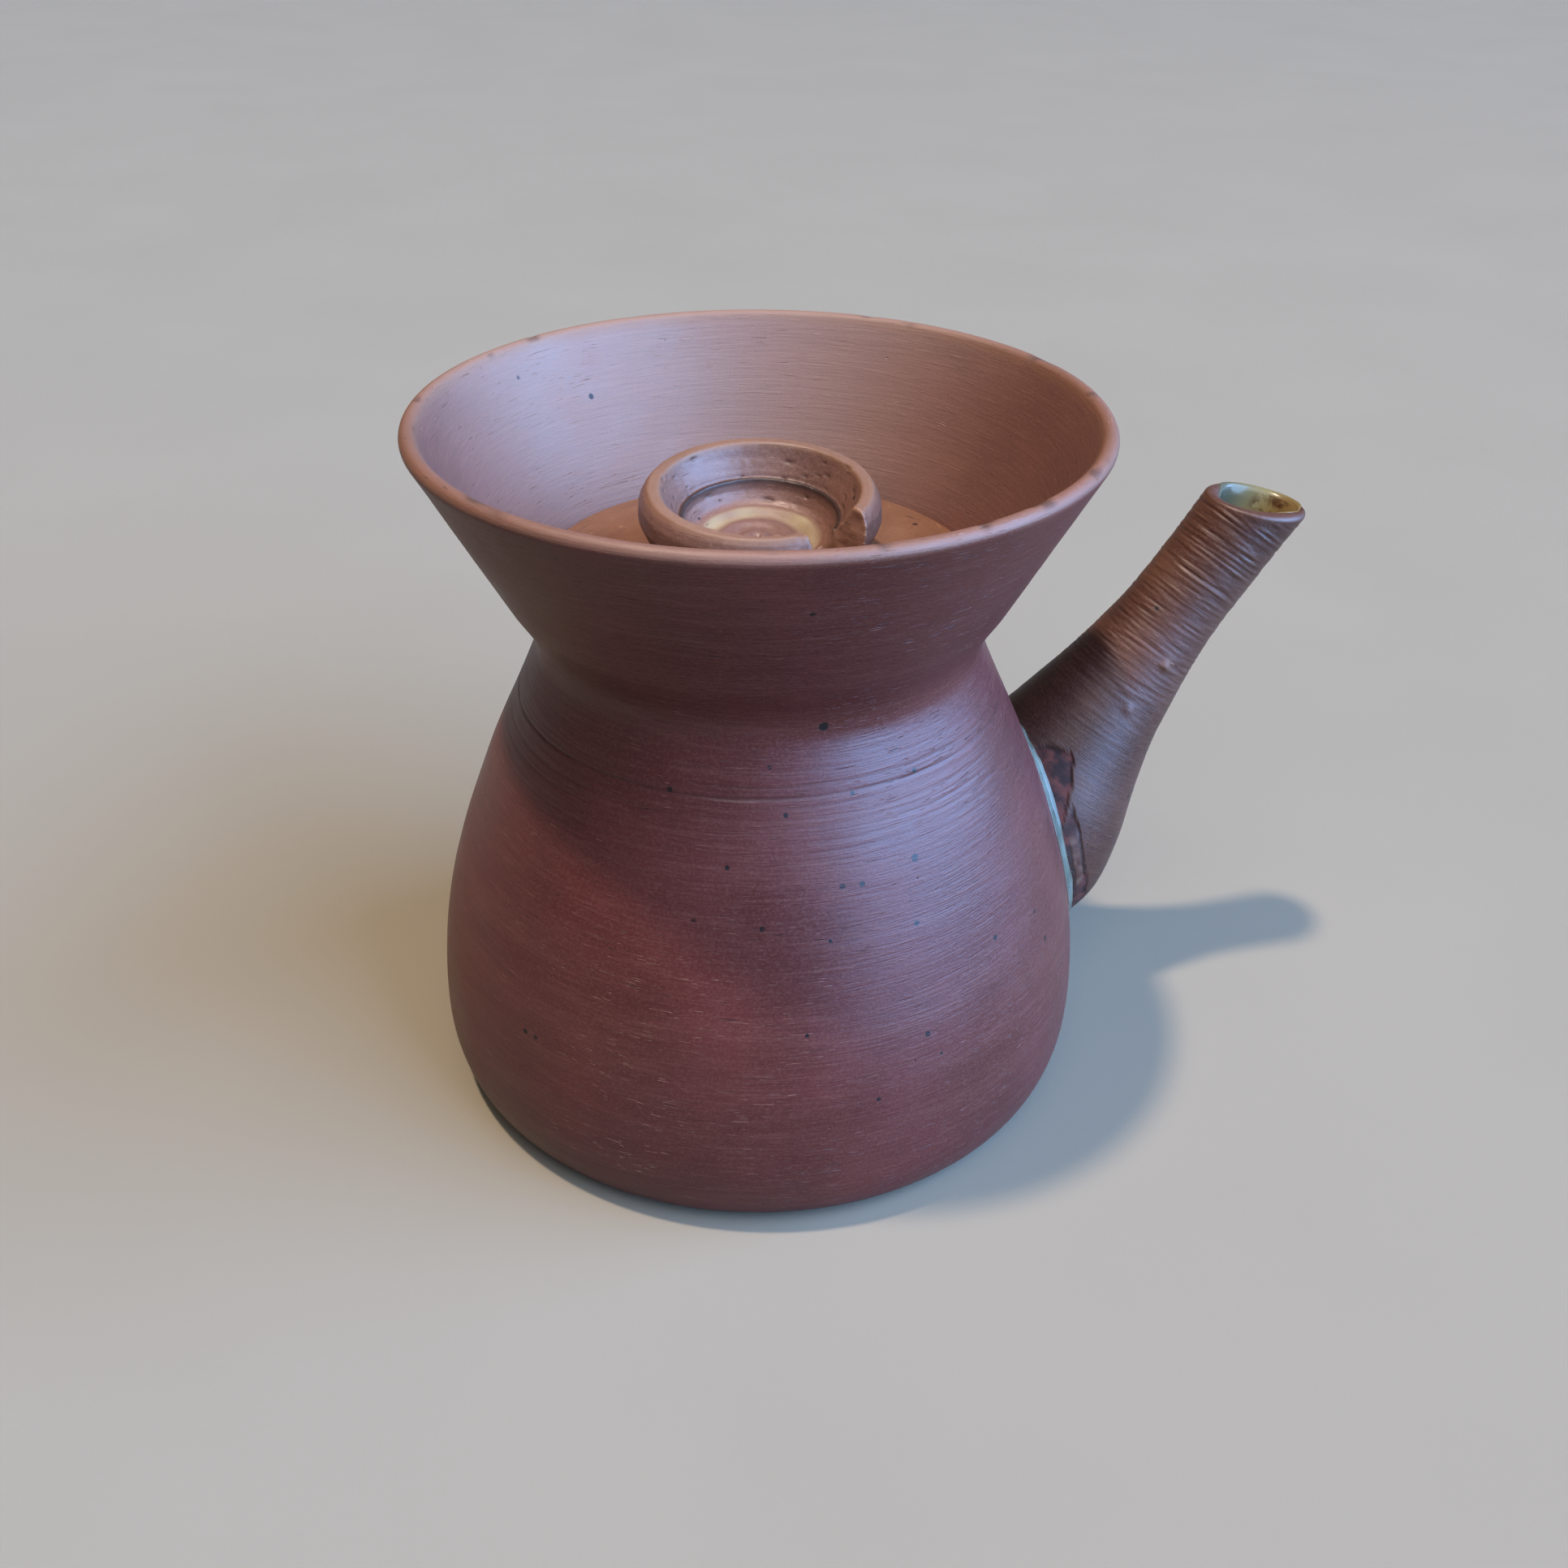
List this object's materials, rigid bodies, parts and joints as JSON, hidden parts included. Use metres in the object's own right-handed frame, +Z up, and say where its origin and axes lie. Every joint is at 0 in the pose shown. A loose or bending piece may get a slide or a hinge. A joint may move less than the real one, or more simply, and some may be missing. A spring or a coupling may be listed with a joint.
{
  "type": "sake server with lid",
  "caption": "Pear-shaped stoneware sake pouring bottle with a flared funnel mouth, a straight side spout glazed inside, and a loose drop-in lid with a cup-shaped notched knob.",
  "frame": {"origin": "centre of the flat base, on the surface that the pot stands on", "axes": "+Z up along the pot's axis, +X the way the spout points"},
  "size_m": [0.1655, 0.12, 0.1235],
  "materials": {
    "pot_clay": "unglazed chocolate-brown stoneware, satin, with fine trimming lines and iron specks",
    "spout_clay": "unglazed dark brown stoneware with close, rough throwing rings",
    "lid_clay": "unglazed brown stoneware, satin",
    "knob_clay": "unglazed light brown stoneware with small pits and a rough notch",
    "liner_glaze": "thin glossy grey-green glaze",
    "spout_glaze": "glossy green to yellow-green ash glaze with iron-brown patches",
    "celadon_glaze": "glossy pale blue-green glaze"
  },
  "bodies": {
    "pot": {"pot_body": "pot_clay", "body_glaze_lining": "liner_glaze", "spout": "spout_clay", "spout_glaze_lining": "spout_glaze", "spout_seam_glaze": "celadon_glaze"},
    "lid": {"lid_plate": "lid_clay", "lid_flange": "lid_clay", "lid_knob": "knob_clay"}
  },
  "joints": [
    {"name": "lid_lift", "type": "slide", "parent": "pot", "child": "lid", "axis": [0, 0, 1], "range_m": [0, 0.045]}
  ]
}
